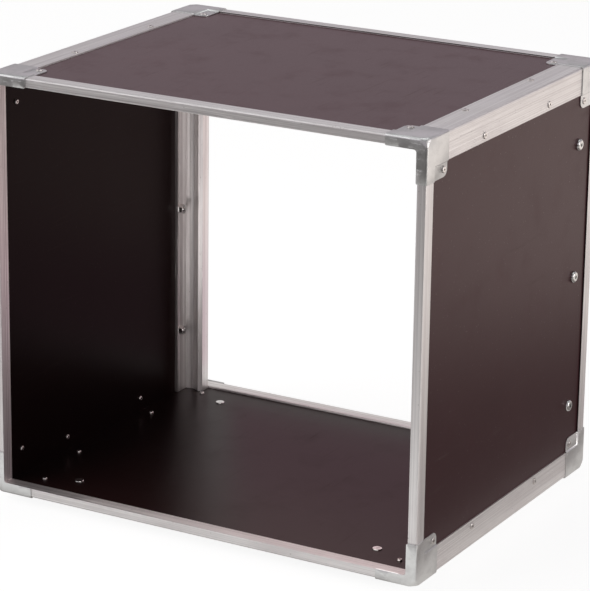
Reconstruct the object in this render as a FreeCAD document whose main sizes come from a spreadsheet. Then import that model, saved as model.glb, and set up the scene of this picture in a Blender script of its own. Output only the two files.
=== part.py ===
import FreeCAD, Part
import os
import Sketcher

# Studio rack: an open box of coated plywood with aluminium edges and steel corners.
# Origin: centre of the footprint, on the floor under the feet. +Z is up.
# The end with the rack rails faces +Y, the plain open end faces -Y.

# Every driving dimension, in millimetres; rack_units is a count.
SIZES = {
    "case_depth": 409,          # between the outer faces of the end trims
    "rack_units": 10,
    "unit_height": 44.45,
    "unit_gap": 6.5,            # free height left over the rack units, between the trims
    "foot_drop": 10,            # from the floor up to the underside of the case
    "board": 6,                 # plywood
    "board_round": 6,           # upright corners of the top and bottom boards
    "skin": 1.5,                # wall of the aluminium trims and angles
    "trim_inner_lip": 2.5,      # thickness of an end trim's inner lip
    "trim_lip": 16.5,           # reach of an end trim over the board
    "trim_round": 2,
    "trim_lip_round": 1.5,      # free edge of the inner lip, towards the room of the case
    "angle_leg": 30,
    "angle_round": 2.5,
    "corner_sheet": 1.2,        # pressed steel
    "corner_tab": 16,           # reach of a corner's tab past the angle
    "corner_overhang": 1,       # how far a corner's end legs stand past the trim
    "corner_tab_round": 8,
    "corner_end_round": 1.5,
    "rivet_shank": 4,
    "rivet_head": 7.5,
    "rivet_head_rise": 1.3,
    "rivet_head_round": 1,
    "rivet_recess": 2.2,        # left in the head by the drawn pin
    "rivet_recess_depth": 1,
    "rivet_tail": 5.5,
    "rivet_tail_rise": 2,
    "rivet_tail_round": 1.2,
    "rivet_clear": 0.2,         # hole over shank, on the diameter
    "angle_rivet_edge": 7,      # from the edge of the angle's leg
    "angle_rivet_end": 128,     # from the end of the case
    "bolt_shank": 6,
    "bolt_tip": 1.5,            # length past the nut
    "bolt_tip_chamfer": 0.8,
    "bolt_clear": 0.4,
    "rail_bolt_head": 13,
    "rail_bolt_rise": 3.8,
    "rail_bolt_round": 2.6,
    "rail_bolt_socket": 4,
    "rail_bolt_socket_depth": 2.2,
    "foot_bolt_head": 10.5,
    "foot_bolt_rise": 1,
    "foot_bolt_round": 0.7,
    "nut_flats": 10,
    "nut_height": 5,
    "nut_chamfer": 0.6,         # height of the nut's outer end that is turned conical
    "rail_opening": 450,        # clear width between the two rails
    "rail_width": 27.5,         # front of a rail, from the board inwards
    "rack_hole_inset": 7.55,    # from the edge of the rail's front to its column of tapped holes
    "rack_hole_first": 6.35,    # from the edge of a unit to its first hole
    "rack_hole_step": 15.875,
    "rack_hole": 5,             # tapping size of the thread
    "rail_set_back": 3,         # from the lip of the end trims to the rails
    "rail_wall": 1.8,
    "rail_web": 2.7,            # between the rail's chamber and its groove
    "rail_rivet_room": 0.4,     # between the side leg and the rivets set behind it
    "rail_rivet_back": 18.5,    # from the front of the rail to the corner rivets
    "rail_corner_back": 12,     # back of the front leg where it leaves the side leg
    "rail_valley_in": 13.2,
    "rail_valley_back": 10,
    "rail_ridge_in": 22.3,
    "rail_ridge_back": 15,
    "rail_edge_back": 13,
    "rail_mouth": 7.6,          # slot in the front of the rail
    "rail_pocket_back": 10.2,
    "rail_end_gap": 0.5,
    "rail_bolt_back": 25,       # from the front of the rail to its bolts
    "rail_bolt_edge": 6,        # from the bolts to the end of the side leg
    "rail_bolt_step": 150,
    "strip_width": 10.7,
    "strip_thickness": 3,
    "strip_play": 0.2,
    "foot_top": 38,
    "foot_bottom": 34,
    "foot_round": 1.5,
    "foot_nut_sink": 1,         # from the floor up to the end of the foot's bolt
    "foot_pocket": 15,
    "foot_side_inset": 73,
    "foot_end_inset": 54,
}

doc = FreeCAD.newDocument("studio_rack")
sheet = doc.addObject("Spreadsheet::Sheet", "sizes")


class Size:
    """A length together with the formula on the sheet that gives it."""

    def __init__(self, value, formula=None):
        self.value = float(value)
        self.formula = formula or repr(float(value))

    def __add__(self, other):
        other = as_size(other)
        return Size(self.value + other.value, f"({self.formula} + {other.formula})")

    def __sub__(self, other):
        other = as_size(other)
        return Size(self.value - other.value, f"({self.formula} - {other.formula})")

    def __mul__(self, other):
        other = as_size(other)
        return Size(self.value * other.value, f"({self.formula} * {other.formula})")

    def __truediv__(self, other):
        other = as_size(other)
        return Size(self.value / other.value, f"({self.formula} / {other.formula})")

    def __neg__(self):
        return Size(-self.value, f"(0 - {self.formula})")


def as_size(number):
    return number if isinstance(number, Size) else Size(number)


class Dimensions:
    """The sheet's cells as attributes."""


dim = Dimensions()
for row, (alias, value) in enumerate(SIZES.items(), start=1):
    sheet.set(f"A{row}", alias)
    sheet.set(f"B{row}", str(value))
    sheet.setAlias(f"B{row}", alias)
    setattr(dim, alias, Size(value, f"sizes.{alias}"))
doc.recompute()

ZERO = Size(0)
RIGHT = FreeCAD.Vector(1, 0, 0)
REAR = FreeCAD.Vector(0, 1, 0)
UP = FreeCAD.Vector(0, 0, 1)
SIDES = (-1, 1)

# Places that several pieces share.
edge_thickness = dim.skin + dim.board + dim.trim_inner_lip
units_height = dim.unit_height * dim.rack_units
case_height = units_height + dim.unit_gap + edge_thickness * 2
inner_face = dim.rail_opening / 2 + dim.rail_width
board_half_width = inner_face + dim.board
half_width = board_half_width + dim.skin
half_depth = dim.case_depth / 2
half_height = case_height / 2
case_middle = dim.foot_drop + half_height
board_half_depth = half_depth - dim.skin
side_height = case_height - (dim.skin + dim.board) * 2
rail_recess = dim.trim_lip + dim.rail_set_back
corner_rivet_along = rail_recess + dim.rail_rivet_back
corner_along = corner_rivet_along + dim.corner_tab_round
corner_across = dim.angle_leg + dim.corner_tab
corner_rivet_across = corner_across - dim.corner_tab_round
angle_rivet_inset = dim.angle_leg - dim.angle_rivet_edge


# Building blocks.
parts = {}


def new_body(label):
    body = doc.addObject("PartDesign::Body", label)
    body.Label = label
    return body


def keep(label, piece):
    """Name a finished piece and add it to the hand-out."""
    piece.Label = label
    parts[label] = piece


def place(piece, at, x_axis, y_axis):
    """Turn a piece's own axes to the given directions and tie its origin to three sizes."""
    turn = FreeCAD.Rotation(x_axis, y_axis, x_axis.cross(y_axis), "XYZ")
    piece.Placement = FreeCAD.Placement(FreeCAD.Vector(*[size.value for size in at]), turn)
    for axis, size in zip("xyz", at):
        piece.setExpression(f"Placement.Base.{axis}", size.formula)


def new_sketch(body, plane, name, level=ZERO):
    """A sketch on one of the body's own planes, moved along its normal by level."""
    sketch = body.newObject("Sketcher::SketchObject", name)
    base = [item for item in body.Origin.OriginFeatures if item.Role == plane][0]
    sketch.AttachmentSupport = (base, [""])
    sketch.MapMode = "FlatFace"
    sketch.setExpression("AttachmentOffset.Base.z", level.formula)
    return sketch


def tie(sketch, geometry, point, x, y):
    """Hold one point of a sketch at two sizes from the sketch's origin."""
    for kind, size in (("DistanceX", x), ("DistanceY", y)):
        number = sketch.addConstraint(Sketcher.Constraint(kind, -1, 1, geometry, point, size.value))
        sketch.setExpression(f"Constraints[{number}]", size.formula)


def draw_outline(sketch, corners):
    """A closed outline of straight edges through the corners."""
    corners = [(as_size(x), as_size(y)) for x, y in corners]
    spots = [FreeCAD.Vector(x.value, y.value, 0) for x, y in corners]
    first = sketch.GeometryCount
    count = len(corners)
    for index in range(count):
        sketch.addGeometry(Part.LineSegment(spots[index], spots[(index + 1) % count]), False)
    for index in range(count):
        following = first + (index + 1) % count
        sketch.addConstraint(Sketcher.Constraint("Coincident", first + index, 2, following, 1))
    for index, (x, y) in enumerate(corners):
        tie(sketch, first + index, 1, x, y)


def draw_rectangle(sketch, x_low, y_low, x_high, y_high):
    draw_outline(sketch, [(x_low, y_low), (x_high, y_low), (x_high, y_high), (x_low, y_high)])


def draw_circles(sketch, centres, diameter):
    for x, y in centres:
        x, y = as_size(x), as_size(y)
        centre = FreeCAD.Vector(x.value, y.value, 0)
        number = sketch.addGeometry(Part.Circle(centre, UP, diameter.value / 2), False)
        tie(sketch, number, 3, x, y)
        constraint = sketch.addConstraint(Sketcher.Constraint("Diameter", number, diameter.value))
        sketch.setExpression(f"Constraints[{constraint}]", diameter.formula)


def add_pad(body, sketch, length, reverse=False):
    pad = body.newObject("PartDesign::Pad", sketch.Name + "_pad")
    pad.Profile = sketch
    pad.setExpression("Length", length.formula)
    pad.Reversed = reverse
    pad.Refine = True
    body.Tip = pad
    doc.recompute()
    return pad


def add_pocket(body, sketch, reverse, depth=None):
    """Cut a sketch out of the body, all the way through or to a depth."""
    before = body.Tip.Shape.Volume
    pocket = body.newObject("PartDesign::Pocket", sketch.Name + "_pocket")
    pocket.Profile = sketch
    pocket.Reversed = reverse
    if depth is None:
        pocket.Type = "ThroughAll"
    else:
        pocket.setExpression("Length", depth.formula)
    body.Tip = pocket
    doc.recompute()
    if not pocket.Shape.Volume < before:
        raise ValueError(f"{pocket.Name} removes nothing")
    return pocket


def drill(body, plane, name, centres, diameter):
    """Round holes right through, along the normal of one of the body's planes."""
    sketch = new_sketch(body, plane, name)
    draw_circles(sketch, centres, diameter)
    return add_pocket(body, sketch, reverse=(plane != "XZ_Plane"))


def add_fillet(body, name, radius, wanted):
    """Round the edges for which wanted(edge) holds."""
    base = body.Tip
    edges = [f"Edge{number}" for number, edge in enumerate(base.Shape.Edges, start=1) if wanted(edge)]
    if not edges:
        raise ValueError(f"{name} finds no edge")
    fillet = body.newObject("PartDesign::Fillet", name)
    fillet.Base = (base, edges)
    fillet.setExpression("Radius", radius.formula)
    body.Tip = fillet
    doc.recompute()
    return fillet


def same(first, second):
    return abs(first - second) < 1e-4


def lies_on(edge, **levels):
    """Whether a whole edge keeps to the given x, y or z levels."""
    box = edge.BoundBox
    low = {"x": box.XMin, "y": box.YMin, "z": box.ZMin}
    high = {"x": box.XMax, "y": box.YMax, "z": box.ZMax}
    return all(same(low[axis], size.value) and same(high[axis], size.value) for axis, size in levels.items())


def reaches(edge, radius):
    """Whether a round edge about the z axis has at least the given radius."""
    return edge.BoundBox.XMax > radius.value - 1e-4


def mirrored(*sizes):
    """Every combination of the sizes with both signs."""
    spots = [()]
    for size in sizes:
        spots = [spot + (value,) for spot in spots for value in (-size, size)]
    return spots


# Boards: four rectangles of plywood, drilled for the rivets, the rail bolts and the feet.
# The top and bottom boards lap over the ends of the side boards.
rivet_hole = dim.rivet_shank + dim.rivet_clear
bolt_hole = dim.bolt_shank + dim.bolt_clear
angle_rivet_depth = half_depth - dim.angle_rivet_end
corner_rivet_depth = half_depth - corner_rivet_along
foot_across = half_width - dim.foot_side_inset
foot_along = half_depth - dim.foot_end_inset
rail_bolt_depth = half_depth - rail_recess - dim.rail_bolt_back


def build_board(label, half_across, half_along, rivets, bolts):
    body = new_body(label)
    sketch = new_sketch(body, "XY_Plane", label + "_outline")
    draw_rectangle(sketch, -half_across, -half_along, half_across, half_along)
    add_pad(body, sketch, dim.board)
    drill(body, "XY_Plane", label + "_rivet_holes", rivets, rivet_hole)
    if bolts:
        drill(body, "XY_Plane", label + "_bolt_holes", bolts, bolt_hole)
    keep(label, body)
    return body


def round_board(body, name):
    """Round the four upright corners of a top or bottom board."""
    ends_x = (board_half_width, -board_half_width)
    ends_y = (board_half_depth, -board_half_depth)
    add_fillet(
        body,
        name,
        dim.board_round,
        lambda edge: any(lies_on(edge, x=x, y=y) for x in ends_x for y in ends_y),
    )


flat_board_rivets = mirrored(half_width - angle_rivet_inset, angle_rivet_depth)
flat_board_rivets += mirrored(half_width - corner_rivet_across, corner_rivet_depth)
top_board = build_board("top_panel", board_half_width, board_half_depth, flat_board_rivets, [])
round_board(top_board, "top_panel_corners")
top_level = dim.foot_drop + case_height
place(top_board, (ZERO, ZERO, top_level - dim.skin - dim.board), RIGHT, REAR)

foot_spots = mirrored(foot_across, foot_along)
floor_board = build_board("bottom_panel", board_half_width, board_half_depth, flat_board_rivets, foot_spots)
round_board(floor_board, "bottom_panel_corners")
place(floor_board, (ZERO, ZERO, dim.foot_drop + dim.skin), RIGHT, REAR)

side_board_rivets = mirrored(angle_rivet_depth, half_height - angle_rivet_inset)
side_board_rivets += mirrored(corner_rivet_depth, half_height - corner_rivet_across)
rail_bolt_heights = (-dim.rail_bolt_step, ZERO, dim.rail_bolt_step)
side_board_bolts = [(rail_bolt_depth, height) for height in rail_bolt_heights]
for side, label in zip(SIDES, ("left_panel", "right_panel")):
    board = build_board(label, board_half_depth, side_height / 2, side_board_rivets, side_board_bolts)
    lower_face = inner_face if side > 0 else -board_half_width
    place(board, (lower_face, ZERO, case_middle), REAR, UP)


# End trims: U-shaped aluminium on all eight board ends. Local x runs into the depth, local y
# from the outer face inwards, local z along the trim. The trims of the top and bottom boards
# end at the side boards, under the corners.
def build_trim(label, length):
    body = new_body(label)
    profile = new_sketch(body, "XY_Plane", label + "_profile")
    inner = dim.skin + dim.board
    draw_outline(
        profile,
        [
            (ZERO, ZERO),
            (dim.trim_lip, ZERO),
            (dim.trim_lip, dim.skin),
            (dim.skin, dim.skin),
            (dim.skin, inner),
            (dim.trim_lip, inner),
            (dim.trim_lip, edge_thickness),
            (ZERO, edge_thickness),
        ],
    )
    add_pad(body, profile, length)
    add_fillet(
        body,
        label + "_outer_rounds",
        dim.trim_round,
        lambda edge: lies_on(edge, x=ZERO, y=ZERO),
    )
    add_fillet(
        body,
        label + "_inner_rounds",
        dim.skin / 2,
        lambda edge: lies_on(edge, x=ZERO, y=edge_thickness),
    )
    add_fillet(
        body,
        label + "_lip_round",
        dim.trim_lip_round,
        lambda edge: lies_on(edge, x=dim.trim_lip, y=edge_thickness),
    )
    keep(label, body)
    return body


flat_trim_length = inner_face * 2
upright_trim_length = case_height - edge_thickness * 2
ENDS = ((-1, "front"), (1, "rear"))
for end, end_name in ENDS:
    end_level = half_depth if end > 0 else -half_depth
    inwards = REAR * -end
    for side, name in ((-1, "bottom"), (1, "top")):
        trim = build_trim(f"{end_name}_{name}_trim", flat_trim_length)
        start = inner_face if end * side < 0 else -inner_face
        outer = top_level if side > 0 else dim.foot_drop
        place(trim, (start, end_level, outer), inwards, UP * -side)
    for side, name in ((-1, "left"), (1, "right")):
        trim = build_trim(f"{end_name}_{name}_trim", upright_trim_length)
        lowest = dim.foot_drop + edge_thickness
        start = lowest if end * side < 0 else lowest + upright_trim_length
        outer = half_width if side > 0 else -half_width
        place(trim, (outer, end_level, start), inwards, RIGHT * -side)


# Edge angles: four aluminium angles along the depth, between the end trims.
# Local x and y run from the outer edge along the two legs, local z along the angle.
angle_length = dim.case_depth - dim.trim_lip * 2
angle_hole_near = dim.angle_rivet_end - dim.trim_lip
angle_holes = (angle_hole_near, angle_length - angle_hole_near)


def build_angle(label):
    body = new_body(label)
    profile = new_sketch(body, "XY_Plane", label + "_profile")
    draw_outline(
        profile,
        [
            (ZERO, ZERO),
            (dim.angle_leg, ZERO),
            (dim.angle_leg, dim.skin),
            (dim.skin, dim.skin),
            (dim.skin, dim.angle_leg),
            (ZERO, dim.angle_leg),
        ],
    )
    add_pad(body, profile, angle_length)
    add_fillet(body, label + "_round", dim.angle_round, lambda edge: lies_on(edge, x=ZERO, y=ZERO))
    centres = [(angle_rivet_inset, level) for level in angle_holes]
    drill(body, "XZ_Plane", label + "_first_holes", centres, rivet_hole)
    drill(body, "YZ_Plane", label + "_second_holes", centres, rivet_hole)
    keep(label, body)
    return body


for rise, rise_name in ((-1, "bottom"), (1, "top")):
    for side, side_name in ((-1, "left"), (1, "right")):
        angle = build_angle(f"{rise_name}_{side_name}_angle")
        across = RIGHT * -side
        down = UP * -rise
        corner_x = half_width if side > 0 else -half_width
        corner_z = top_level if rise > 0 else dim.foot_drop
        first, second = (across, down) if side * rise < 0 else (down, across)
        start = angle_length / 2
        along = first.cross(second).y
        place(angle, (corner_x, -start if along > 0 else start, corner_z), first, second)


# Corners: eight pressings of one sheet of steel. Each covers the end trims with two narrow
# legs, laps over the trims and the angle on two faces, and steps down to a riveted tab
# that lies on the board. Local x and z run along the case's edges, local y into its depth.
sheet_outside = -dim.corner_sheet
tab_in = dim.angle_leg + dim.corner_sheet
tab_along = dim.trim_lip + dim.corner_sheet
corner_leg = edge_thickness + dim.corner_overhang
corner_bend = dim.skin


def press_face(body, plane, name, turned):
    """One lapped face: raised part, riser and tab. Points are given as (inwards, depth)."""

    def points(*pairs):
        return [(second, first) if turned else (first, second) for first, second in pairs]

    raised = new_sketch(body, plane, name + "_raised", level=sheet_outside)
    draw_outline(
        raised,
        points(
            (sheet_outside, sheet_outside),
            (corner_across, sheet_outside),
            (corner_across, tab_along),
            (tab_in, tab_along),
            (tab_in, corner_along),
            (sheet_outside, corner_along),
        ),
    )
    add_pad(body, raised, dim.corner_sheet)
    riser = new_sketch(body, plane, name + "_riser", level=sheet_outside)
    draw_outline(
        riser,
        points(
            (dim.angle_leg, dim.trim_lip),
            (corner_across, dim.trim_lip),
            (corner_across, tab_along),
            (tab_in, tab_along),
            (tab_in, corner_along),
            (dim.angle_leg, corner_along),
        ),
    )
    add_pad(body, riser, dim.corner_sheet + dim.skin)
    tab = new_sketch(body, plane, name + "_tab", level=dim.skin - dim.corner_sheet)
    draw_outline(
        tab,
        points(
            (dim.angle_leg, dim.trim_lip),
            (corner_across, dim.trim_lip),
            (corner_across, corner_along),
            (dim.angle_leg, corner_along),
        ),
    )
    add_pad(body, tab, dim.corner_sheet)


def build_corner(label):
    body = new_body(label)
    legs = new_sketch(body, "XZ_Plane", label + "_legs")
    draw_outline(
        legs,
        [
            (sheet_outside, sheet_outside),
            (corner_across, sheet_outside),
            (corner_across, corner_leg),
            (corner_leg, corner_leg),
            (corner_leg, corner_across),
            (sheet_outside, corner_across),
        ],
    )
    add_pad(body, legs, dim.corner_sheet)
    press_face(body, "XY_Plane", label + "_flat", turned=False)
    press_face(body, "YZ_Plane", label + "_side", turned=True)
    add_fillet(
        body,
        label + "_inner_bends",
        corner_bend,
        lambda edge: any(lies_on(edge, **{a: ZERO, b: ZERO}) for a, b in ("xy", "yz", "xz")),
    )
    add_fillet(
        body,
        label + "_outer_bends",
        corner_bend + dim.corner_sheet,
        lambda edge: any(
            lies_on(edge, **{a: sheet_outside, b: sheet_outside}) for a, b in ("xy", "yz", "xz")
        ),
    )
    add_fillet(
        body,
        label + "_tab_rounds",
        dim.corner_tab_round,
        lambda edge: lies_on(edge, y=corner_along, z=corner_across)
        or lies_on(edge, y=corner_along, x=corner_across),
    )
    add_fillet(
        body,
        label + "_leg_rounds",
        dim.corner_end_round,
        lambda edge: lies_on(edge, x=corner_leg, z=corner_across)
        or lies_on(edge, x=corner_across, z=corner_leg),
    )
    flat_hole = [(corner_rivet_across, corner_rivet_along)]
    side_hole = [(corner_rivet_along, corner_rivet_across)]
    drill(body, "XY_Plane", label + "_flat_hole", flat_hole, rivet_hole)
    drill(body, "YZ_Plane", label + "_side_hole", side_hole, rivet_hole)
    keep(label, body)
    return body


for end, end_name in ENDS:
    for rise, rise_name in ((-1, "bottom"), (1, "top")):
        for side, side_name in ((-1, "left"), (1, "right")):
            corner = build_corner(f"{end_name}_{rise_name}_{side_name}_corner")
            across = RIGHT * -side
            down = UP * -rise
            inwards = REAR * -end
            first = across if across.cross(inwards).dot(down) > 0 else down
            spot = (
                half_width if side > 0 else -half_width,
                half_depth if end > 0 else -half_depth,
                top_level if rise > 0 else dim.foot_drop,
            )
            place(corner, spot, first, inwards)


# Rack rails: one aluminium extrusion cut twice. Local x runs from the board inwards,
# local y from the front of the rail backwards, local z along its height. Ribs hold the side
# leg off the board, over the tails of the corner rivets.
rail_length = side_height - dim.rail_end_gap * 2
rail_rib = dim.rivet_tail_rise + dim.rail_rivet_room
rail_side = rail_rib + dim.rail_wall
rail_reach = dim.rail_bolt_back + dim.rail_bolt_edge
hole_column = dim.rail_width - dim.rack_hole_inset
mouth_low = hole_column - dim.rail_mouth / 2
mouth_high = hole_column + dim.rail_mouth / 2
groove_low = hole_column - dim.strip_width / 2 - dim.strip_play
groove_high = hole_column + dim.strip_width / 2 + dim.strip_play
groove_back = dim.rail_wall + dim.strip_thickness + dim.strip_play
pocket_tip = dim.rail_ridge_back - dim.rail_wall
chamber_high = groove_low - dim.rail_web
chamber_back = dim.rail_corner_back - dim.rail_wall
rail_bolt_holes = [(dim.rail_bolt_back, rail_length / 2 + height) for height in rail_bolt_heights]


def build_rail(label):
    body = new_body(label)
    profile = new_sketch(body, "XY_Plane", label + "_profile")
    draw_outline(
        profile,
        [
            (ZERO, ZERO),
            (mouth_low, ZERO),
            (mouth_low, dim.rail_wall),
            (groove_low, dim.rail_wall),
            (groove_low, groove_back),
            (mouth_low, groove_back),
            (mouth_low, dim.rail_pocket_back),
            (dim.rail_ridge_in, pocket_tip),
            (mouth_high, dim.rail_pocket_back),
            (mouth_high, groove_back),
            (groove_high, groove_back),
            (groove_high, dim.rail_wall),
            (mouth_high, dim.rail_wall),
            (mouth_high, ZERO),
            (dim.rail_width, ZERO),
            (dim.rail_width, dim.rail_edge_back),
            (dim.rail_ridge_in, dim.rail_ridge_back),
            (dim.rail_valley_in, dim.rail_valley_back),
            (rail_side, dim.rail_corner_back),
            (rail_side, rail_reach),
            (ZERO, rail_reach),
            (ZERO, rail_reach - dim.rail_wall),
            (rail_rib, rail_reach - dim.rail_wall),
            (rail_rib, dim.rail_corner_back),
            (ZERO, dim.rail_corner_back),
        ],
    )
    draw_outline(
        profile,
        [
            (dim.rail_wall, dim.rail_wall),
            (chamber_high, dim.rail_wall),
            (chamber_high, dim.rail_valley_back - dim.rail_wall),
            (dim.rail_wall, chamber_back),
        ],
    )
    add_pad(body, profile, rail_length)
    drill(body, "YZ_Plane", label + "_bolt_holes", rail_bolt_holes, bolt_hole)
    keep(label, body)
    return body


# Tapped strips: a flat steel bar in the groove of each rail, with three holes a unit.
strip_low = hole_column - dim.strip_width / 2
strip_high = hole_column + dim.strip_width / 2
first_unit = (rail_length - units_height) / 2
HOLES_PER_UNIT = 3


def build_strip(label):
    body = new_body(label)
    outline = new_sketch(body, "XY_Plane", label + "_outline")
    strip_back = dim.rail_wall + dim.strip_thickness
    draw_rectangle(outline, strip_low, dim.rail_wall, strip_high, strip_back)
    add_pad(body, outline, rail_length)
    low = first_unit + dim.rack_hole_first
    centres = [(hole_column, low + dim.rack_hole_step * step) for step in range(HOLES_PER_UNIT)]
    holes = drill(body, "XZ_Plane", label + "_holes", centres, dim.rack_hole)
    before = body.Tip.Shape.Volume
    pattern = body.newObject("PartDesign::LinearPattern", label + "_units")
    pattern.Originals = [holes]
    pattern.Direction = (holes.Profile[0], ["V_Axis"])
    pattern.setExpression("Length", (units_height - dim.unit_height).formula)
    pattern.setExpression("Occurrences", dim.rack_units.formula)
    body.Tip = pattern
    doc.recompute()
    if not pattern.Shape.Volume < before:
        raise ValueError(f"{pattern.Name} removes nothing")
    keep(label, body)
    return body


rail_front = half_depth - rail_recess
rail_low = dim.foot_drop + dim.skin + dim.board + dim.rail_end_gap
for side, side_name in ((-1, "left"), (1, "right")):
    spot = (
        inner_face if side > 0 else -inner_face,
        rail_front,
        rail_low if side > 0 else rail_low + rail_length,
    )
    place(build_rail(f"{side_name}_rack_rail"), spot, RIGHT * -side, -REAR)
    place(build_strip(f"{side_name}_tapped_strip"), spot, RIGHT * -side, -REAR)


# Feet: four low rubber buffers with a pocket for the nut, open towards the floor.
# Local z runs down from the board.
foot_height = dim.foot_drop + dim.skin
foot_floor = foot_height - dim.nut_height - dim.bolt_tip - dim.foot_nut_sink


def turn_profile(body, sketch):
    """Turn a half section around the sketch's own upright axis."""
    feature = body.newObject("PartDesign::Revolution", sketch.Name + "_turned")
    feature.Profile = sketch
    feature.ReferenceAxis = (sketch, ["V_Axis"])
    body.Tip = feature
    doc.recompute()
    return feature


def build_foot(label):
    body = new_body(label)
    section = new_sketch(body, "XZ_Plane", label + "_section")
    draw_outline(
        section,
        [
            (bolt_hole / 2, ZERO),
            (dim.foot_top / 2, ZERO),
            (dim.foot_bottom / 2, foot_height),
            (dim.foot_pocket / 2, foot_height),
            (dim.foot_pocket / 2, foot_floor),
            (bolt_hole / 2, foot_floor),
        ],
    )
    turn_profile(body, section)
    add_fillet(
        body,
        label + "_round",
        dim.foot_round,
        lambda edge: lies_on(edge, z=foot_height) and reaches(edge, dim.foot_bottom / 2),
    )
    keep(label, body)
    return body


for end, end_name in ENDS:
    for side, side_name in ((-1, "left"), (1, "right")):
        foot = build_foot(f"{end_name}_{side_name}_foot")
        spot = (
            foot_across if side > 0 else -foot_across,
            foot_along if end > 0 else -foot_along,
            foot_height,
        )
        place(foot, spot, RIGHT, -REAR)


# Fasteners. Each kind is modelled once, with local z running in from the seat of its head,
# and is repeated in a group of separate solids.
def build_rivet(name, grip):
    """Blind rivet: low domed head with the pin's recess, shank and the bulb of the set end."""
    body = new_body(name)
    section = new_sketch(body, "XZ_Plane", name + "_section")
    recess_end = dim.rivet_recess_depth - dim.rivet_head_rise
    draw_outline(
        section,
        [
            (ZERO, recess_end),
            (dim.rivet_recess / 2, recess_end),
            (dim.rivet_recess / 2, -dim.rivet_head_rise),
            (dim.rivet_head / 2, -dim.rivet_head_rise),
            (dim.rivet_head / 2, ZERO),
            (dim.rivet_shank / 2, ZERO),
            (dim.rivet_shank / 2, grip),
            (dim.rivet_tail / 2, grip),
            (dim.rivet_tail / 2, grip + dim.rivet_tail_rise),
            (ZERO, grip + dim.rivet_tail_rise),
        ],
    )
    turn_profile(body, section)
    add_fillet(
        body,
        name + "_dome",
        dim.rivet_head_round,
        lambda edge: lies_on(edge, z=-dim.rivet_head_rise) and reaches(edge, dim.rivet_head / 2),
    )
    tail_end = grip + dim.rivet_tail_rise
    add_fillet(body, name + "_bulb", dim.rivet_tail_round, lambda edge: lies_on(edge, z=tail_end))
    return body


def draw_hexagon(sketch, across_flats):
    """A hexagon about the origin with two flats upright."""
    half = across_flats / 2
    point = across_flats / 3 ** 0.5
    draw_outline(
        sketch,
        [
            (half, -point / 2),
            (half, point / 2),
            (ZERO, point),
            (-half, point / 2),
            (-half, -point / 2),
            (ZERO, -point),
        ],
    )


def build_bolt(name, grip, head, rise, dome):
    """Bolt with a round head and a chamfered tip, long enough for a nut."""
    body = new_body(name)
    section = new_sketch(body, "XZ_Plane", name + "_section")
    tip = grip + dim.nut_height + dim.bolt_tip
    draw_outline(
        section,
        [
            (ZERO, -rise),
            (head / 2, -rise),
            (head / 2, ZERO),
            (dim.bolt_shank / 2, ZERO),
            (dim.bolt_shank / 2, tip - dim.bolt_tip_chamfer),
            (dim.bolt_shank / 2 - dim.bolt_tip_chamfer, tip),
            (ZERO, tip),
        ],
    )
    turn_profile(body, section)
    add_fillet(body, name + "_dome", dome, lambda edge: lies_on(edge, z=-rise))
    return body


PAST_POINTS = 0.6    # a hexagon's points lie at 0.577 of its width across flats


def build_nut(name):
    """Hexagon nut, its outer end turned to a cone that takes off the six points."""
    body = new_body(name)
    outline = new_sketch(body, "XY_Plane", name + "_outline")
    draw_hexagon(outline, dim.nut_flats)
    draw_circles(outline, [(ZERO, ZERO)], dim.bolt_shank)
    add_pad(body, outline, dim.nut_height)
    past_points = dim.nut_flats * PAST_POINTS
    shoulder = dim.nut_height - dim.nut_chamfer
    before = body.Tip.Shape.Volume
    cone = new_sketch(body, "XZ_Plane", name + "_cone")
    draw_outline(
        cone,
        [
            (dim.nut_flats / 2, dim.nut_height),
            (past_points, shoulder),
            (past_points, dim.nut_height),
        ],
    )
    groove = body.newObject("PartDesign::Groove", name + "_points")
    groove.Profile = cone
    groove.ReferenceAxis = (cone, ["V_Axis"])
    body.Tip = groove
    doc.recompute()
    if not groove.Shape.Volume < before:
        raise ValueError(f"{groove.Name} removes nothing")
    return body


def repeat(label, piece, spots):
    """A group of the piece at each spot, given as (place, direction of local z)."""
    copies = []
    for number, (at, direction) in enumerate(spots, start=1):
        copy = doc.addObject("App::Link", f"{label}_{number}")
        copy.LinkedObject = piece
        across = REAR if abs(direction.y) < 0.5 else RIGHT
        place(copy, at, across, direction.cross(across))
        copies.append(copy)
    group = doc.addObject("Part::Compound", label)
    group.Links = copies
    doc.recompute()
    keep(label, group)


def on_both_sides(seat, depths, heights, inwards=1):
    """Spots on the two side faces, at a distance seat from the middle."""
    spots = []
    for side in SIDES:
        x = seat if side > 0 else -seat
        spots += [((x, y, case_middle + z), RIGHT * -side * inwards) for y in depths for z in heights]
    return spots


def on_top_and_bottom(seat, acrosses, depths):
    """Spots on the top and bottom faces, at a distance seat from the case's middle height."""
    spots = []
    for side in SIDES:
        z = case_middle + seat if side > 0 else case_middle - seat
        spots += [((x, y, z), UP * -side) for x in acrosses for y in depths]
    return spots


def both(size):
    return (-size, size)


# Rivets of the edge angles: head on the angle, bulb on the inside of the board.
angle_rivet = build_rivet("angle_rivet", dim.skin + dim.board)
angle_spots = on_both_sides(half_width, both(angle_rivet_depth), both(half_height - angle_rivet_inset))
angle_spots += on_top_and_bottom(half_height, both(half_width - angle_rivet_inset), both(angle_rivet_depth))
repeat("angle_rivets", angle_rivet, angle_spots)

# Rivets of the corners: head on the tab, which lies on the board.
tab_face = dim.skin - dim.corner_sheet
corner_rivet = build_rivet("corner_rivet", dim.corner_sheet + dim.board)
corner_spots = on_both_sides(
    half_width - tab_face, both(corner_rivet_depth), both(half_height - corner_rivet_across)
)
corner_spots += on_top_and_bottom(
    half_height - tab_face, both(half_width - corner_rivet_across), both(corner_rivet_depth)
)
repeat("corner_rivets", corner_rivet, corner_spots)

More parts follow.
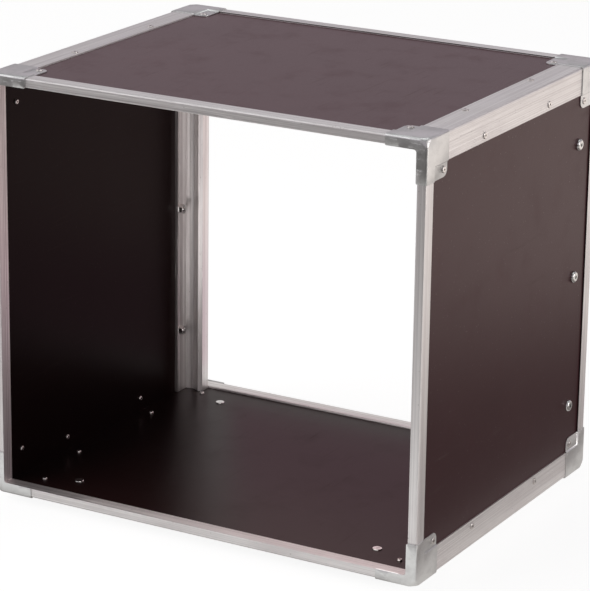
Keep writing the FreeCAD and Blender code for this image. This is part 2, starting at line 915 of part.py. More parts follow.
# Rail bolts: domed head with a hexagon socket outside on the board, nut inside on the rail's
# side leg.
rail_bolt = build_bolt(
    "rail_bolt", dim.board + rail_side, dim.rail_bolt_head, dim.rail_bolt_rise, dim.rail_bolt_round
)
socket = new_sketch(rail_bolt, "XY_Plane", "rail_bolt_socket", level=-dim.rail_bolt_rise)
draw_hexagon(socket, dim.rail_bolt_socket)
add_pocket(rail_bolt, socket, reverse=True, depth=dim.rail_bolt_socket_depth)
repeat("rail_bolts", rail_bolt, on_both_sides(board_half_width, (rail_bolt_depth,), rail_bolt_heights))
nut = build_nut("hexagon_nut")
rail_nut_seat = inner_face - rail_side
repeat("rail_nuts", nut, on_both_sides(rail_nut_seat, (rail_bolt_depth,), rail_bolt_heights))

# Foot bolts: flat plain head inside on the bottom board, nut in the pocket of the foot.
foot_bolt = build_bolt(
    "foot_bolt", dim.board + foot_floor, dim.foot_bolt_head, dim.foot_bolt_rise, dim.foot_bolt_round
)
floor_level = foot_height + dim.board
repeat("foot_bolts", foot_bolt, [((x, y, floor_level), -UP) for x, y in foot_spots])
foot_nut_seat = foot_height - foot_floor
repeat("foot_nuts", nut, [((x, y, foot_nut_seat), -UP) for x, y in foot_spots])


# Check everything, then write one file for each piece.
doc.recompute()
for item in doc.Objects:
    if "Invalid" in item.State or "Error" in item.State:
        raise ValueError(f"{item.Name} failed: {item.State}")
for label, piece in parts.items():
    shape = piece.Shape
    if shape.isNull() or not shape.isValid() or not shape.Solids:
        raise ValueError(f"{label} has no valid solid")

os.makedirs("parts", exist_ok=True)
for label, piece in parts.items():
    piece.Shape.exportStep(f"parts/{label}.step")
    print(label, len(piece.Shape.Solids), round(piece.Shape.Volume))
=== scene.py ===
import math

import bpy
from mathutils import Matrix, Vector


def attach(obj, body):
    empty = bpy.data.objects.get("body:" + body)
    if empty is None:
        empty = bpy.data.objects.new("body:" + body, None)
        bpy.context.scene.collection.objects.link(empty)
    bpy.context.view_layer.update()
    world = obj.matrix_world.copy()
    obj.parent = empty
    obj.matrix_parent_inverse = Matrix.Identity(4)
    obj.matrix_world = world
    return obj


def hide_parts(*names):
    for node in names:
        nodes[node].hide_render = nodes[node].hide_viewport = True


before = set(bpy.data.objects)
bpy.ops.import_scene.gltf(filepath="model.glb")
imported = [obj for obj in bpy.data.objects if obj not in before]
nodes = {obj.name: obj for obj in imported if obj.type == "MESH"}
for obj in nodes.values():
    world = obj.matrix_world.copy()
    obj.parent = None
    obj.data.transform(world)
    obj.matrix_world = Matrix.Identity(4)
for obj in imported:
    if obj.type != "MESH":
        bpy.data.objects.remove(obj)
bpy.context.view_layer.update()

scene = bpy.context.scene
scene.view_settings.view_transform = "Standard"

# Camera: a long lens that looks down through the plain open end from the front right, with
# the slight roll of a hand-levelled tripod head.
PHOTO_LONG_SIDE_PX = 591
LENS_PX = 2979.64
AZIMUTH = math.radians(29.53)
ELEVATION = math.radians(17.68)
ROLL = math.radians(0.78)
CAMERA_SPOT = (1.5339, -2.7101, 1.2159)
camera_data = bpy.data.cameras.new("camera")
camera_data.sensor_width = 36.0
camera_data.lens = LENS_PX * camera_data.sensor_width / PHOTO_LONG_SIDE_PX
camera_data.clip_start = 0.1
camera_data.clip_end = 60.0
camera = bpy.data.objects.new("camera", camera_data)
scene.collection.objects.link(camera)
level_share = math.cos(ELEVATION)
forward = Vector(
    (-math.sin(AZIMUTH) * level_share, math.cos(AZIMUTH) * level_share, -math.sin(ELEVATION))
)
level_right = Vector((math.cos(AZIMUTH), math.sin(AZIMUTH), 0.0))
level_up = level_right.cross(forward)
right = level_right * math.cos(ROLL) + level_up * math.sin(ROLL)
up = level_up * math.cos(ROLL) - level_right * math.sin(ROLL)
camera_turn = Matrix((right, up, -forward)).transposed().to_4x4()
camera.matrix_world = Matrix.Translation(CAMERA_SPOT) @ camera_turn
scene.camera = camera


# Boards: 6 mm plywood faced on both sides with a dark brown resin film, cut square and
# drilled. The film is satin, with a fine grain, faint clouds and the odd scuff.
class Level:
    """A value that changes over a surface; sums and products with it add Math nodes."""

    def __init__(self, owner, socket):
        self.owner = owner
        self.socket = socket

    def reckon(self, operation, first, second=0.0):
        return self.owner.add("ShaderNodeMath", {"operation": operation}, {0: first, 1: second})

    def __add__(self, other):
        return self.reckon("ADD", self, other)

    def __sub__(self, other):
        return self.reckon("SUBTRACT", self, other)

    def __mul__(self, other):
        return self.reckon("MULTIPLY", self, other)

    def __rsub__(self, other):
        return self.reckon("SUBTRACT", other, self)

    __radd__ = __add__
    __rmul__ = __mul__

    def size(self):
        return self.reckon("ABSOLUTE", self)

    def wave(self):
        return self.reckon("SINE", self)

    def root(self):
        return self.reckon("SQRT", self)

    def least(self, other):
        return self.reckon("MINIMUM", self, other)

    def over(self, low, high):
        """0 below low, 1 above high, with a smooth step between them."""
        return self.owner.add(
            "ShaderNodeMapRange",
            {"interpolation_type": "SMOOTHSTEP"},
            {"Value": self, "From Min": low, "From Max": high},
        )


class Nodes:
    """The nodes that feed one shader, of a material or of the room."""

    def __init__(self, tree, shader):
        self.tree = tree
        self.shader = tree.nodes[shader]

    def add(self, kind, settings=(), inputs=(), output=0):
        """One node: its settings first, then the value or link of each socket."""
        node = self.tree.nodes.new(kind)
        for key, value in dict(settings).items():
            if key == "stops":
                self.set_stops(node.color_ramp, value)
            else:
                setattr(node, key, value)
        for key, value in dict(inputs).items():
            if isinstance(value, Level):
                self.tree.links.new(value.socket, node.inputs[key])
            else:
                node.inputs[key].default_value = value
        return Level(self, node.outputs[output])

    def set_stops(self, ramp, stops):
        """The positions and colours of a ramp, from left to right."""
        while len(ramp.elements) < len(stops):
            ramp.elements.new(0.5)
        for element, (position, colour) in zip(ramp.elements, stops):
            element.position = position
            element.color = (*colour, 1.0)

    def blend(self, factor, first, second):
        """Two colours mixed by a value."""
        settings = {"data_type": "RGBA"}
        return self.add("ShaderNodeMix", settings, {0: factor, 6: first, 7: second}, output=2)

    def feed(self, socket, value):
        self.tree.links.new(value.socket, self.shader.inputs[socket])


class Finish(Nodes):
    """A material being mixed."""

    def __init__(self, name, **constants):
        self.material = bpy.data.materials.new(name)
        self.material.use_nodes = True
        super().__init__(self.material.node_tree, "Principled BSDF")
        for socket, value in constants.items():
            self.shader.inputs[socket.replace("_", " ")].default_value = value
        self.place = self.add("ShaderNodeTexCoord", output="Object")

    def along(self, axis):
        """One of the object coordinates."""
        return self.add("ShaderNodeSeparateXYZ", {}, {"Vector": self.place}, output=axis)

    def stretched(self, scales, turn=(0.0, 0.0, 0.0)):
        """Object coordinates multiplied by one number for each axis, then turned."""
        return self.add("ShaderNodeMapping", {}, {"Vector": self.place, "Scale": scales, "Rotation": turn})

    def clouds(self, scales, detail=2.0, roughness=0.5, turn=(0.0, 0.0, 0.0)):
        """Soft noise, its grain one over each of the scales."""
        place = self.stretched(scales, turn)
        inputs = {"Vector": place, "Scale": 1.0, "Detail": detail, "Roughness": roughness}
        return self.add("ShaderNodeTexNoise", {}, inputs)

    def specks(self, scales, low, high):
        """Small round spots, one to a cell: 1 nearer its middle than low, 0 past high."""
        inputs = {"Vector": self.stretched(scales), "Scale": 1.0, "Randomness": 1.0}
        return 1.0 - self.add("ShaderNodeTexVoronoi", {}, inputs).over(low, high)

    def relief(self, height, depth):
        self.feed("Normal", self.add("ShaderNodeBump", {}, {"Height": height, "Distance": depth}))

    def wear(self, names):
        """Put the finish on CAD nodes."""
        for name in names:
            slots = nodes[name].data.materials
            slots.clear()
            slots.append(self.material)


CASE_MIDDLE = 0.2455  # height, halfway between the outer faces of the floor and the top
IN_SIDE_BOARD = 0.254, 0.257  # from the middle of the width, both within a side board
IN_LEVEL_BOARD = 0.2295, 0.2325  # from the middle of the height, both within the floor or the top


def off_middle(finish):
    """Height above or below the middle of the case."""
    return (finish.along(2) - CASE_MIDDLE).size()


def resin_film(name, index, glossy_outside=False):
    """Dark brown film, painted darker on the inner faces as painted shade; its index of refraction sets how
    strongly it mirrors.
    """
    film = Finish(name, IOR=index, Specular_Tint=(1.0, 0.6, 0.6, 1.0), Coat_IOR=1.3, Coat_Roughness=0.32)
    fibres = film.clouds((900.0, 900.0, 900.0), 3.0, 0.6)
    cloudy = film.clouds((9.0, 9.0, 9.0), 3.0, 0.55)
    handling = film.clouds((26.0, 26.0, 26.0), 4.0, 0.6).over(0.48, 0.75)
    scuffs = film.clouds((420.0, 14.0, 260.0), 2.0, 0.5, (0.3, 0.2, 0.5)).over(0.64, 0.74)
    scratches = film.clouds((8.0, 700.0, 600.0), 2.0, 0.5, (0.6, 0.3, -0.4)).over(0.69, 0.75)
    dust = film.specks((130.0, 130.0, 130.0), 0.05, 0.1)
    within_width = 1.0 - film.along(0).size().over(*IN_SIDE_BOARD)
    within_height = 1.0 - off_middle(film).over(*IN_LEVEL_BOARD)
    outside = 1.0 - within_width * within_height
    brown = film.blend(cloudy, (0.040, 0.0115, 0.0145, 1.0), (0.054, 0.0165, 0.021, 1.0))
    # The inner faces are painted darker, as painted shade inside the case.
    inside_shade = film.blend(outside, (0.016, 0.006, 0.006, 1.0), brown)
    scuffed = film.blend((scuffs + scratches) * (0.05 + outside * 0.25), inside_shade, (0.10, 0.075, 0.07, 1.0))
    film.feed("Base Color", film.blend(dust * (0.1 + outside * 0.35), scuffed, (0.22, 0.19, 0.18, 1.0)))
    film.feed("Roughness", 0.26 + fibres * 0.08 + handling * 0.05 + scuffs * 0.1)
    film.relief(fibres + scratches * -0.5 + cloudy, 0.00005)
    if glossy_outside:
        film.feed("Coat Weight", outside)
    return film


# One real film on every board. The floor's and the left board's copies have a lower index, so they mirror
# less, as painted shade on their reflections inside the case. A coat keeps their outer faces glossy.
resin_film("brown_resin_film", 1.34).wear(["top_panel", "right_panel"])
resin_film("brown_resin_film_floor", 1.22, glossy_outside=True).wear(["bottom_panel"])
resin_film("brown_resin_film_dull", 1.12, glossy_outside=True).wear(["left_panel"])


# End trims: U-shaped aluminium extrusions pushed over the board ends, mill finish. Drawing
# streaks and handling scratches run along each length; the lips carry fine drawn ribs. The rib
# grooves and the lips' end faces are painted darker, as painted shade.
CASE_HALF_DEPTH = 0.2045
LIP_REACH = 0.0165  # of a trim, from the end of the case over the boards
LIP_RIB_PITCH = 0.0034
IN_TOP_SKIN = 0.2343, 0.2349  # from the middle of the height, both within the outer skin
IN_SIDE_SKIN = 0.2588, 0.2594  # the same from the middle of the width
UNDER_SIDE_SKIN = 0.2582, 0.2584  # from the middle of the width, just within the board's face


def inside_height(finish):
    """1 between the outer faces of the case's floor and top, 0 on those faces."""
    return 1.0 - off_middle(finish).over(*IN_TOP_SKIN)


def lip_ribs(finish):
    """Ribs that run along both lips of a trim, clear of its edges."""
    inwards = CASE_HALF_DEPTH - finish.along(1).size()
    past_bend = inwards.over(0.0045, 0.0055)
    near_edge = inwards.over(LIP_REACH - 0.0025, LIP_REACH - 0.0015)
    on_lip = past_bend * (1.0 - near_edge)
    wave = (inwards * (2.0 * math.pi / LIP_RIB_PITCH)).wave()
    return wave, on_lip * (1.0 - finish.along(0).size().over(*IN_SIDE_SKIN)) * inside_height(finish)


def drawn_aluminium(name, lengthwise, ribs=None, shade_lip_ends=False, die_lines=0.12, satin=0.44):
    """Extruded aluminium, its streaks along one axis; the lips' end faces can be painted near black, as
    painted shadow of the gap between lip and board.
    """
    finish = Finish(name, Metallic=1.0)

    def runs(across, along):
        return tuple(along if axis == lengthwise else across for axis in range(3))

    streaks = finish.clouds(runs(700.0, 3.0), 4.0, 0.65).over(0.3, 0.7)
    bands = finish.clouds(runs(170.0, 1.2), 2.0, 0.5)
    patches = finish.clouds(runs(34.0, 9.0), 4.0, 0.6)
    scratches = finish.clouds(runs(1300.0, 14.0), 2.0, 0.5).over(0.66, 0.72)
    nicks = finish.specks(runs(260.0, 150.0), 0.08, 0.16) * finish.clouds((60.0, 60.0, 60.0)).over(0.5, 0.62)
    rubbed = patches.over(0.42, 0.7)
    bare = finish.blend(streaks, (0.71, 0.70, 0.695, 1.0), (0.90, 0.895, 0.885, 1.0))
    grooved = finish.clouds(runs(420.0, 1.5)).over(0.46, 0.6)
    lined = finish.blend(grooved * die_lines, bare, (0.36, 0.32, 0.32, 1.0))
    dulled = finish.blend(rubbed * 0.35, lined, (0.62, 0.59, 0.585, 1.0))
    marked = finish.blend(nicks * 0.5, dulled, (0.34, 0.31, 0.30, 1.0))
    height = streaks * 0.3 + bands * 1.6 + scratches * -0.6 + nicks * -1.2 + patches * 1.5
    if ribs:
        wave, ribbed = ribs(finish)
        # The rib grooves are painted darker, as painted shade in the grooves.
        rib_groove_shade = wave.over(0.35, 0.9) * ribbed * bands.over(0.4, 0.6) * 0.7
        marked = finish.blend(rib_groove_shade, marked, (0.5, 0.46, 0.455, 1.0))
        height = height + wave * ribbed * -0.7
    if shade_lip_ends:
        # The lips' end faces are painted near black, as painted shadow of the gap between lip and board.
        past_lip = (CASE_HALF_DEPTH - finish.along(1).size()).over(LIP_REACH - 0.0001, LIP_REACH)
        under_skin = 1.0 - finish.along(0).size().over(*UNDER_SIDE_SKIN)
        outside = 1.0 - under_skin * inside_height(finish)
        marked = finish.blend(past_lip * outside, marked, (0.05, 0.045, 0.045, 1.0))
    finish.feed("Base Color", marked)
    finish.feed("Roughness", satin + streaks * 0.12 + rubbed * 0.08)
    finish.relief(height, 0.00012)
    return finish


drawn_aluminium("trim_drawn_across", 0, lip_ribs, shade_lip_ends=True).wear(
    [f"{end}_{level}_trim" for end in ("front", "rear") for level in ("bottom", "top")]
)
drawn_aluminium("trim_drawn_upright", 2, lip_ribs, shade_lip_ends=True).wear(
    [f"{end}_{side}_trim" for end in ("front", "rear") for side in ("left", "right")]
)

# Edge angles: the same aluminium, 30 mm legs, running the depth of the case between the trims
# and riveted to both boards that meet there. The upright leg is drawn with fine ribs, their
# grooves painted darker as painted shade.
LEG_RIB_PITCH = 0.0026
IN_LEG = 0.2585, 0.2595  # from the middle of the width, both within the upright leg


def leg_ribs(finish):
    """Ribs that run along the outer face of the upright leg, fainter than those of the trims."""
    wave = (finish.along(2) * (2.0 * math.pi / LEG_RIB_PITCH)).wave()
    return wave, finish.along(0).size().over(*IN_LEG) * inside_height(finish) * 0.45


drawn_aluminium("angle_drawn_along", 1, leg_ribs).wear(
    [f"{level}_{side}_angle" for level in ("bottom", "top") for side in ("left", "right")]
)

# Rack rails: one aluminium extrusion, stood upright against each side board, with a groove
# that holds the tapped strip. Sawn ends, drawing streaks along the height.
drawn_aluminium("rail_drawn_upright", 2, die_lines=0.4, satin=0.28).wear(
    ["left_rack_rail", "right_rack_rail"]
)


# Corners: one pressing of 1.2 mm steel, zinc plated, at each of the eight corners. The press
# rounds the point to a ball and steps each face down to a tab that is riveted to the board.
SHEET = 0.0012  # thickness of the steel
SKIN = 0.0015  # thickness of the aluminium that a tab steps down from
REACH = 0.046  # of a tab, from the outer faces of the aluminium
FRONT_LEG = 0.011  # width of the legs on the end of the case
STEP_ACROSS = (0.030, 0.0312)  # where a face steps down past the angle
STEP_ALONG = (LIP_REACH, LIP_REACH + SHEET)  # and past the trim
BALL_CUT = 0.0078
EDGE_BEND = 0.0028
TAB_ROUND = 0.008
LEG_END_ROUND = 0.0015
LEG_INNER_ROUND = 0.003
RIM_ROUND = 0.0003
SMALLEST = 1e-5  # lengths closer than this are the same
CASE_HALF_WIDTH = 0.260
CASE_FLOOR = 0.010
CASE_TOP = 0.481


def select_points(wanted):
    """Select the pressing's vertices for which wanted(place) holds, in vertex mode."""
    bpy.ops.object.mode_set(mode="EDIT")
    bpy.ops.mesh.select_mode(type="VERT")
    bpy.ops.mesh.select_all(action="DESELECT")
    bpy.ops.object.mode_set(mode="OBJECT")
    for point in pressing.data.vertices:
        point.select = wanted(point.co)
    bpy.ops.object.mode_set(mode="EDIT")


def delete_faces(unwanted):
    """Delete the pressing's faces for which unwanted(face) holds; stays in edit mode."""
    bpy.ops.object.mode_set(mode="EDIT")
    bpy.ops.mesh.select_mode(type="FACE")
    bpy.ops.mesh.select_all(action="DESELECT")
    bpy.ops.object.mode_set(mode="OBJECT")
    for face in pressing.data.polygons:
        face.select = unwanted(face)
    bpy.ops.object.mode_set(mode="EDIT")
    bpy.ops.mesh.delete(type="FACE")


def near(first, second):
    return abs(first - second) < SMALLEST


bpy.ops.object.select_all(action="DESELECT")
block = REACH + SHEET
bpy.ops.mesh.primitive_cube_add(size=block, location=[block / 2 - SHEET] * 3)
pressing = bpy.context.object
pressing.name = "front_bottom_left_pressing"
bpy.ops.object.transform_apply(location=True, rotation=False, scale=False)
delete_faces(lambda face: max(face.normal) > 0.9)
for axis, cuts in ((0, (FRONT_LEG, *STEP_ACROSS)), (1, STEP_ALONG), (2, (FRONT_LEG, *STEP_ACROSS))):
    normal = [float(axis == other) for other in range(3)]
    for cut in cuts:
        bpy.ops.mesh.select_all(action="SELECT")
        bpy.ops.mesh.bisect(plane_co=[cut * part for part in normal], plane_no=normal)
delete_faces(lambda face: face.center.y < 0.0 and min(face.center.x, face.center.z) > FRONT_LEG)
past_angle = STEP_ACROSS[1] - SMALLEST
past_trim = STEP_ALONG[1] - SMALLEST
for flat, across in ((2, 0), (0, 2)):
    select_points(lambda co: near(co[flat], -SHEET) and co[across] > past_angle and co.y > past_trim)
    bpy.ops.transform.translate(value=[SKIN * float(flat == axis) for axis in range(3)])
select_points(lambda co: near(co.y, REACH) and near(max(co.x, co.z), REACH))
bpy.ops.mesh.bevel(offset=TAB_ROUND, segments=8, affect="VERTICES")
select_points(
    lambda co: near(co.y, -SHEET) and near(max(co.x, co.z), REACH) and near(min(co.x, co.z), FRONT_LEG)
)
bpy.ops.mesh.bevel(offset=LEG_END_ROUND, segments=3, affect="VERTICES")
select_points(lambda co: near(co.y, -SHEET) and near(co.x, FRONT_LEG) and near(co.z, FRONT_LEG))
bpy.ops.mesh.bevel(offset=LEG_INNER_ROUND, segments=4, affect="VERTICES")
select_points(lambda co: all(near(part, -SHEET) for part in co))
bpy.ops.mesh.bevel(offset=BALL_CUT, segments=1, affect="VERTICES")
select_points(lambda co: sum(near(part, -SHEET) for part in co) == 2)
bpy.ops.mesh.select_mode(type="EDGE")
bpy.ops.mesh.bevel(offset=EDGE_BEND, segments=4, affect="EDGES")
bpy.ops.object.mode_set(mode="OBJECT")
wall = pressing.modifiers.new("wall", "SOLIDIFY")
wall.thickness = SHEET
wall.offset = -1.0
wall.use_even_offset = True
bpy.ops.object.modifier_apply(modifier="wall")
rims = pressing.modifiers.new("rims", "BEVEL")
rims.width = RIM_ROUND
rims.segments = 2
rims.limit_method = "ANGLE"
rims.angle_limit = math.radians(40.0)
bpy.ops.object.modifier_apply(modifier="rims")

plated = Finish("zinc_plated_pressing", Metallic=1.0)
spangle = plated.clouds((240.0, 240.0, 240.0), 3.0, 0.6)
smears = plated.clouds((55.0, 40.0, 70.0), 4.0, 0.65)
hollows = plated.clouds((30.0, 30.0, 30.0), 1.0, 0.4)
grazes = plated.clouds((60.0, 900.0, 1000.0), 2.0, 0.5, (0.4, 0.1, 0.3)).over(0.66, 0.72)
dull = smears.over(0.42, 0.66)
zinc = plated.blend(spangle, (0.655, 0.67, 0.665, 1.0), (0.735, 0.75, 0.745, 1.0))
plated.feed("Base Color", plated.blend(dull * 0.3, zinc, (0.47, 0.475, 0.47, 1.0)))
plated.feed("Roughness", 0.32 + dull * 0.12 + spangle * 0.04 + grazes * 0.08)
plated.relief(hollows * 3.0 + spangle * 0.06 + grazes * -0.2, 0.0003)
pressing.data.materials.append(plated.material)

for end, end_name in ((-1, "front"), (1, "rear")):
    for rise, rise_name in ((-1, "bottom"), (1, "top")):
        for side, side_name in ((-1, "left"), (1, "right")):
            node = f"{end_name}_{rise_name}_{side_name}_corner"
            corner = pressing.copy()
            corner.data = pressing.data.copy()
            corner.name = f"{end_name}_{rise_name}_{side_name}_pressing"
            scene.collection.objects.link(corner)
            spot = (side * CASE_HALF_WIDTH, end * CASE_HALF_DEPTH, CASE_TOP if rise > 0 else CASE_FLOOR)
            mirror = Matrix.Diagonal((-side, -end, -rise, 1.0))
            corner.data.transform(Matrix.Translation(spot) @ mirror)
            bpy.ops.object.select_all(action="DESELECT")
            corner.select_set(True)
            bpy.context.view_layer.objects.active = corner
            bpy.ops.object.mode_set(mode="EDIT")
            bpy.ops.mesh.select_all(action="SELECT")
            bpy.ops.mesh.normals_make_consistent(inside=False)
            bpy.ops.object.mode_set(mode="OBJECT")
            bpy.ops.object.shade_smooth_by_angle(angle=math.radians(35.0))
            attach(corner, "root")
            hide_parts(node)
bpy.data.objects.remove(pressing)

# Tapped strips: flat steel bar, zinc plated, slid into the grooves of the rack rails. It is
# ground lengthwise and stained in places; equipment is screwed to it through the rails.
strip_steel = Finish("strip_zinc_plate", Metallic=1.0)
grind = strip_steel.clouds((500.0, 500.0, 12.0), 3.0, 0.6)
stains = strip_steel.clouds((40.0, 40.0, 25.0), 3.0, 0.6).over(0.4, 0.7)
bar = strip_steel.blend(grind, (0.52, 0.52, 0.51, 1.0), (0.66, 0.66, 0.65, 1.0))
strip_steel.feed("Base Color", strip_steel.blend(stains * 0.4, bar, (0.34, 0.33, 0.31, 1.0)))
strip_steel.feed("Roughness", 0.26 + grind * 0.1 + stains * 0.15)
strip_steel.relief(grind, 0.00005)
strip_steel.wear(["left_tapped_strip", "right_tapped_strip"])

# Rivets: aluminium blind rivets, set from outside; the drawn mandrel leaves a recess in the
# middle of each head, painted near black as painted shade over the mandrel's own dark steel.
# The edge of each head is painted darker, as painted shade.
def rivet_alloy(name, across, depth, height):
    """Aluminium, painted darker near the rivets' axes and at the edge of each head, as painted shade; the
    axes mirror about the case's middle.
    """
    alloy = Finish(name, Metallic=1.0)
    off_depth = alloy.along(1).size() - depth
    off_across = alloy.along(0).size() - across
    off_height = off_middle(alloy) - height
    on_side = off_depth * off_depth + off_height * off_height
    on_flat = off_depth * off_depth + off_across * off_across
    from_axis = on_side.least(on_flat).root()
    # Near black in the recess, painted shade over the mandrel's dark steel; darker at the head's edge,
    # painted shade.
    pin_recess_shade = 1.0 - from_axis.over(0.0010, 0.0013)
    rim_shade = from_axis.over(0.0031, 0.0036)
    set_marks = alloy.clouds((800.0, 800.0, 800.0), 3.0, 0.6)
    tarnish = alloy.clouds((150.0, 150.0, 150.0), 2.0, 0.5).over(0.4, 0.7)
    fresh = alloy.blend(set_marks, (0.68, 0.66, 0.64, 1.0), (0.84, 0.82, 0.80, 1.0))
    dulled = alloy.blend(tarnish * 0.5 + rim_shade * 0.4, fresh, (0.42, 0.39, 0.37, 1.0))
    alloy.feed("Base Color", alloy.blend(pin_recess_shade, dulled, (0.05, 0.045, 0.042, 1.0)))
    alloy.feed("Roughness", 0.22 + set_marks * 0.15 + pin_recess_shade * 0.25)
    alloy.relief(set_marks, 0.00008)
    return alloy


angle_alloy = rivet_alloy("angle_rivet_aluminium", across=0.237, depth=0.0765, height=0.2125)
angle_alloy.wear(["angle_rivets"])
corner_alloy = rivet_alloy("corner_rivet_aluminium", across=0.222, depth=0.1665, height=0.1975)
corner_alloy.wear(["corner_rivets"])

# Bolts and nuts: M6 machine screws, bright zinc plate, through the side boards and the rails'
# side legs, and through the floor into the feet.
screw_steel = Finish("screw_zinc_plate", Metallic=1.0)
turning = screw_steel.clouds((600.0, 600.0, 600.0), 3.0, 0.6)
bright = screw_steel.blend(turning, (0.62, 0.63, 0.62, 1.0), (0.80, 0.81, 0.80, 1.0))
grime = screw_steel.clouds((180.0, 180.0, 180.0), 2.0, 0.5).over(0.5, 0.75)
screw_steel.feed("Base Color", screw_steel.blend(grime * 0.5, bright, (0.30, 0.29, 0.28, 1.0)))
screw_steel.feed("Roughness", 0.16 + turning * 0.12 + grime * 0.15)
screw_steel.relief(turning, 0.00006)
screw_steel.wear(["rail_bolts", "rail_nuts", "foot_bolts", "foot_nuts"])

# Feet: four low buffers of black moulded rubber, bolted up under the floor board. They are
# matt, with a grey bloom, and dusty near the ground.
rubber = Finish("moulded_rubber", IOR=1.5)
grain = rubber.clouds((1200.0, 1200.0, 1200.0), 3.0, 0.6)
bloom = rubber.clouds((45.0, 45.0, 45.0), 3.0, 0.6).over(0.45, 0.75)
floor_dust = 1.0 - rubber.along(2).over(0.0, 0.006)
black = rubber.blend(bloom * 0.5, (0.012, 0.012, 0.012, 1.0), (0.035, 0.034, 0.033, 1.0))
rubber.feed("Base Color", rubber.blend(floor_dust * 0.3, black, (0.10, 0.095, 0.09, 1.0)))
rubber.feed("Roughness", 0.62 + grain * 0.15 + bloom * 0.1)
rubber.relief(grain, 0.0001)
rubber.wear([f"{end}_{side}_foot" for end in ("front", "rear") for side in ("left", "right")])

# Studio floor: a white sweep under and behind the case, which gives way to the darker floor of
# the room in front. The camera sees it evenly white. For the film and the metal it glows as a
# painted reflection: dim as painted shade of the case, brighter as painted light right in front
# of the case, close beside it and at its right side.
FLOOR_SIZE = 40.0
bpy.ops.object.select_all(action="DESELECT")
bpy.ops.mesh.primitive_plane_add(size=FLOOR_SIZE, location=(0.0, 0.0, 0.0))
floor = bpy.context.object
floor.name = "studio_floor"
sweep = Finish("white_sweep", Roughness=0.9, Emission_Strength=1.0)
flat_view = Vector((forward.x, forward.y, 0.0)).normalized()
in_front = sweep.add(
    "ShaderNodeVectorMath",
    {"operation": "DOT_PRODUCT"},
    {0: sweep.place, 1: (-flat_view.x, -flat_view.y, 0.0)},
    output="Value",
)
room = in_front.over(0.35, 1.5)
white_paper = 0.16, 0.158, 0.156, 1.0
room_floor = 0.10, 0.095, 0.085, 1.0
sweep.feed("Base Color", sweep.blend(room, white_paper, room_floor))
seen = sweep.add("ShaderNodeLightPath", output="Is Camera Ray")
mirrored = sweep.add("ShaderNodeLightPath", output="Is Glossy Ray")
# Painted light that only mirrors see: the floor glows brighter close beside the case, far to its right, and
# in front of it.
across = sweep.along(0)
before = sweep.along(1) * -1.0
beside = across.over(0.2, 0.26) * (1.0 - across.over(0.285, 0.325))
lit_side = (across - before * 0.5).over(0.62, 1.2)
lit_front = before.over(0.18, 0.26) * (1.0 - before.over(0.5, 0.95))
shaded_paper = sweep.blend(beside, (0.15, 0.125, 0.12, 1.0), (0.62, 0.58, 0.56, 1.0))
front_paper = sweep.blend(lit_front, shaded_paper, (0.86, 0.84, 0.83, 1.0))
paper = sweep.blend(lit_side, front_paper, (0.98, 0.88, 0.83, 1.0))
lit = sweep.blend(mirrored * (1.0 - room), (0.0, 0.0, 0.0, 1.0), paper)
sweep.feed("Emission Color", sweep.blend(seen, lit, (0.9, 0.9, 0.9, 1.0)))
floor.data.materials.append(sweep.material)

# Cards: a glowing sheet hangs across each open end, a painted reflection and no lamp, where no
# camera sees it and only the film and the metal mirror it. The far one is rosy, with a grey
# margin at its sides and foot; the near one is almost white.
CARD_HEIGHT = 0.45
IN_FAR_OPENING = 0.2042
IN_NEAR_OPENING = -0.2042


def hang_card(name, left, right_edge, depth):
    """An upright card as high as the opening; the finish of its painted glow is returned."""
    bpy.ops.object.select_all(action="DESELECT")
    bpy.ops.mesh.primitive_plane_add(size=1.0, location=(0.0, 0.0, 0.0))
    hung = bpy.context.object
    hung.name = name
    bpy.ops.transform.rotate(value=math.pi / 2.0, orient_axis="X", center_override=(0.0, 0.0, 0.0))
    bpy.ops.transform.resize(value=(right_edge - left, 1.0, CARD_HEIGHT))
    bpy.ops.transform.translate(value=((left + right_edge) / 2.0, depth, CASE_MIDDLE))
    bpy.ops.object.transform_apply(location=True, rotation=True, scale=True)
    hung.visible_camera = False
    hung.visible_diffuse = False
    hung.visible_shadow = False
    glow_sheet = Finish(name + "_cloth", Roughness=0.9, Emission_Strength=1.0)
    nap = glow_sheet.clouds((3.0, 3.0, 3.0))
    glow_sheet.feed("Base Color", glow_sheet.blend(nap, (0.02, 0.02, 0.02, 1.0), (0.03, 0.03, 0.03, 1.0)))
    hung.data.materials.append(glow_sheet.material)
    return glow_sheet


far_card = hang_card("far_card", left=-0.245, right_edge=0.245, depth=IN_FAR_OPENING)
far_height = far_card.along(2).over(0.11, 0.25)
off_margin = far_card.along(2).over(0.028, 0.045) * (1.0 - far_card.along(0).size().over(0.185, 0.225))
rosy = far_card.blend(far_height, (0.70, 0.47, 0.54, 1.0), (1.02, 0.82, 0.80, 1.0))
far_card.feed("Emission Color", far_card.blend(off_margin, (0.78, 0.75, 0.74, 1.0), rosy))
near_card = hang_card("near_card", left=-0.15, right_edge=0.24, depth=IN_NEAR_OPENING)
near_height = near_card.along(2).over(0.02, 0.2)
near_glow = near_card.blend(near_height, (1.9, 1.74, 1.73, 1.0), (1.6, 1.47, 1.46, 1.0))
near_card.feed("Emission Color", near_glow)

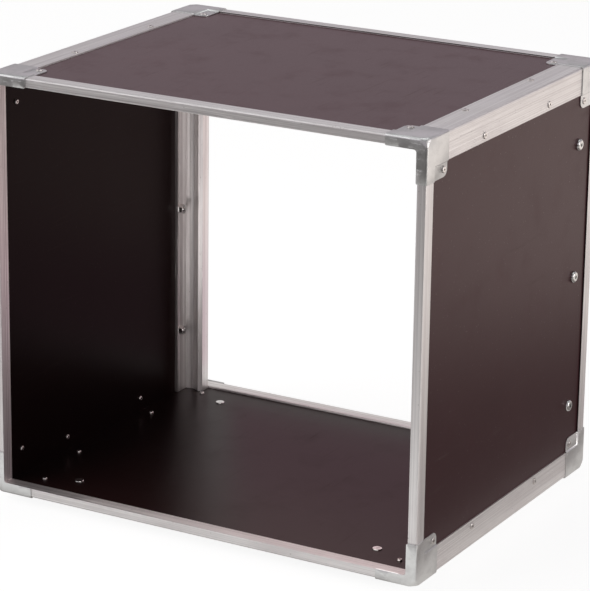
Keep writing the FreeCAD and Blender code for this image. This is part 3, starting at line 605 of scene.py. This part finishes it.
# Studio room: an even soft light from all round, white where the camera sees it. The metal
# and the film mirror a wall that is bright at eye level and greyer near the floor and above.
world = bpy.data.worlds.new("studio")
scene.world = world
world.use_nodes = True
WHITE = (1.0, 1.0, 1.0, 1.0)
ROOM_LIGHT = (0.08, 0.08, 0.08, 1.0)
WALL_STOPS = (
    (0.05, (0.26, 0.25, 0.25)),
    (0.22, (0.635, 0.56, 0.61)),
    (0.42, (0.635, 0.56, 0.61)),
    (0.62, (0.30, 0.295, 0.30)),
)
sky = Nodes(world.node_tree, "Background")
direction = sky.add("ShaderNodeTexCoord", output="Generated")
upwards = sky.add("ShaderNodeSeparateXYZ", {}, {"Vector": direction}, output="Z")
room_wall = sky.add("ShaderNodeValToRGB", {"stops": WALL_STOPS}, {"Fac": upwards})
in_mirror = sky.add("ShaderNodeLightPath", output="Is Glossy Ray")
in_camera = sky.add("ShaderNodeLightPath", output="Is Camera Ray")
around = sky.blend(in_mirror, ROOM_LIGHT, room_wall)
sky.feed("Color", sky.blend(in_camera, around, WHITE))

# Lamps: a large soft key from the front left, a small soft box over the case and a narrow warm
# one that fills its right side. The film and the metal mirror only a third of the key's power:
# the rest is a second lamp in the same place, hidden from mirrors.
LAMPS_AIM = Vector((0.0, 0.0, 0.25))
KEY_SPOT = (-3.0, -2.0, 2.9)


def soft_lamp(name, at, width, height, power, colour=(1.0, 1.0, 1.0), in_mirrors=True):
    """A lamp with a diffuser, aimed at the middle of the case, seen in mirrors or hidden from them."""
    data = bpy.data.lights.new(name, "AREA")
    data.shape = "RECTANGLE"
    data.size = width
    data.size_y = height
    data.energy = power
    data.color = colour
    light = bpy.data.objects.new(name, data)
    scene.collection.objects.link(light)
    light.visible_camera = False
    light.visible_glossy = in_mirrors
    light.location = at
    light.rotation_euler = (LAMPS_AIM - Vector(at)).to_track_quat("-Z", "Y").to_euler()


soft_lamp("key_lamp", KEY_SPOT, width=5.5, height=4.0, power=65.0)
soft_lamp("key_lamp_bounce", KEY_SPOT, width=5.5, height=4.0, power=125.0, in_mirrors=False)
soft_lamp("ceiling_lamp", (0.0, 0.4, 2.6), width=1.6, height=1.6, power=10.0)
soft_lamp("side_lamp", (2.6, 0.3, 0.9), width=0.6, height=1.4, power=21.0, colour=(1.0, 0.955, 0.925))
